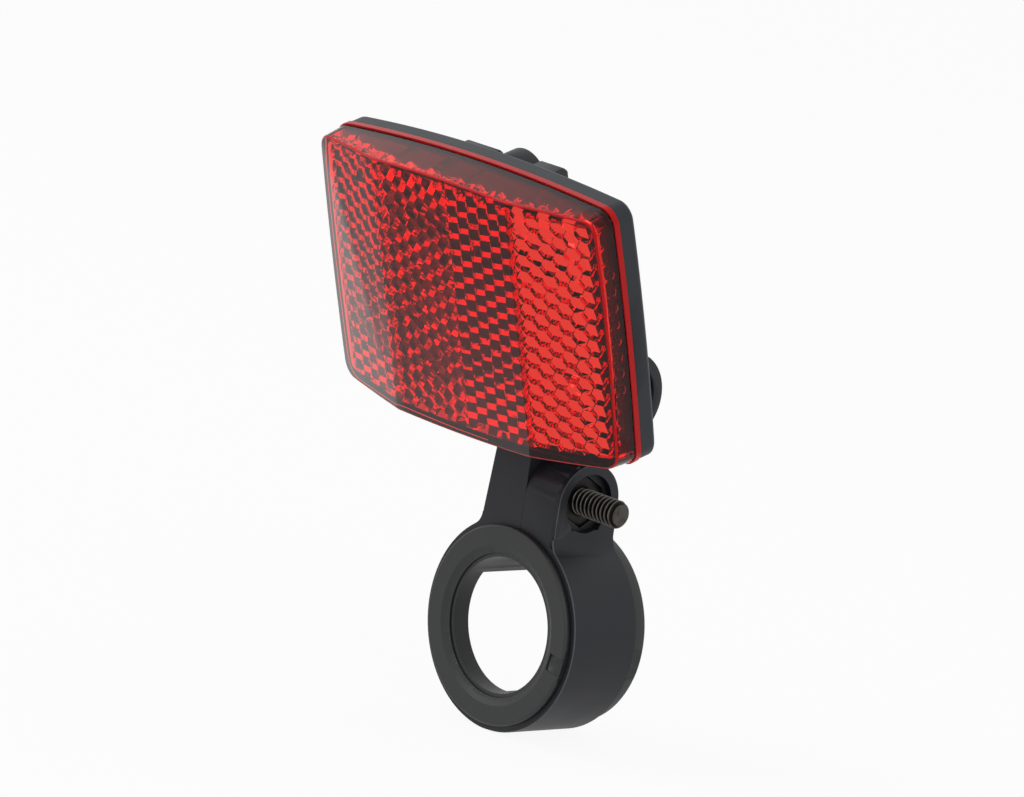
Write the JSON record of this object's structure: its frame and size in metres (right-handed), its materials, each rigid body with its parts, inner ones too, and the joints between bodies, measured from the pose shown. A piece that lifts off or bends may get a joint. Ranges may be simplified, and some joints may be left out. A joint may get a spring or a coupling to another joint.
{
  "type": "bicycle reflector",
  "caption": "Red three-panel prismatic reflector in a black tray, on a tilting arm with a bolted bar clamp and a flanged rubber shim.",
  "frame": {"origin": "centre of the bar bore, on its axis", "axes": "+Y along the bar bore towards the back, +X to the right seen from the front, towards the bolt's free end, +Z from the bore up through the neck; the lens faces -Y"},
  "size_m": [0.0708, 0.0511, 0.103],
  "materials": {
    "lens_red": "clear moulded red acrylic, polished outside, prisms inside",
    "housing_black": "fine satin black moulded plastic",
    "bracket_black": "fine spark-eroded satin black nylon",
    "shim_rubber": "smooth dull black rubber",
    "bolt_black": "blackened steel, worn bright on the thread crests",
    "nut_steel": "zinc-plated steel, dulled",
    "friction_black": "plain black plastic"
  },
  "bodies": {
    "clamp": {"bracket": "bracket_black", "shim": "shim_rubber", "clamp_bolt": "bolt_black", "clamp_nut": "nut_steel", "clamp_washer": "nut_steel", "hinge_screw": "bolt_black", "hinge_nut": "nut_steel", "hinge_washer": "nut_steel", "friction_washer": "friction_black"},
    "head": {"lens": "lens_red", "housing": "housing_black", "carrier": "bracket_black"}
  },
  "joints": [
    {"name": "tilt", "type": "hinge", "parent": "clamp", "child": "head", "pos_m": [0, 0.0039, 0.0425], "axis": [1, 0, 0], "range_deg": [-40, 15]}
  ]
}
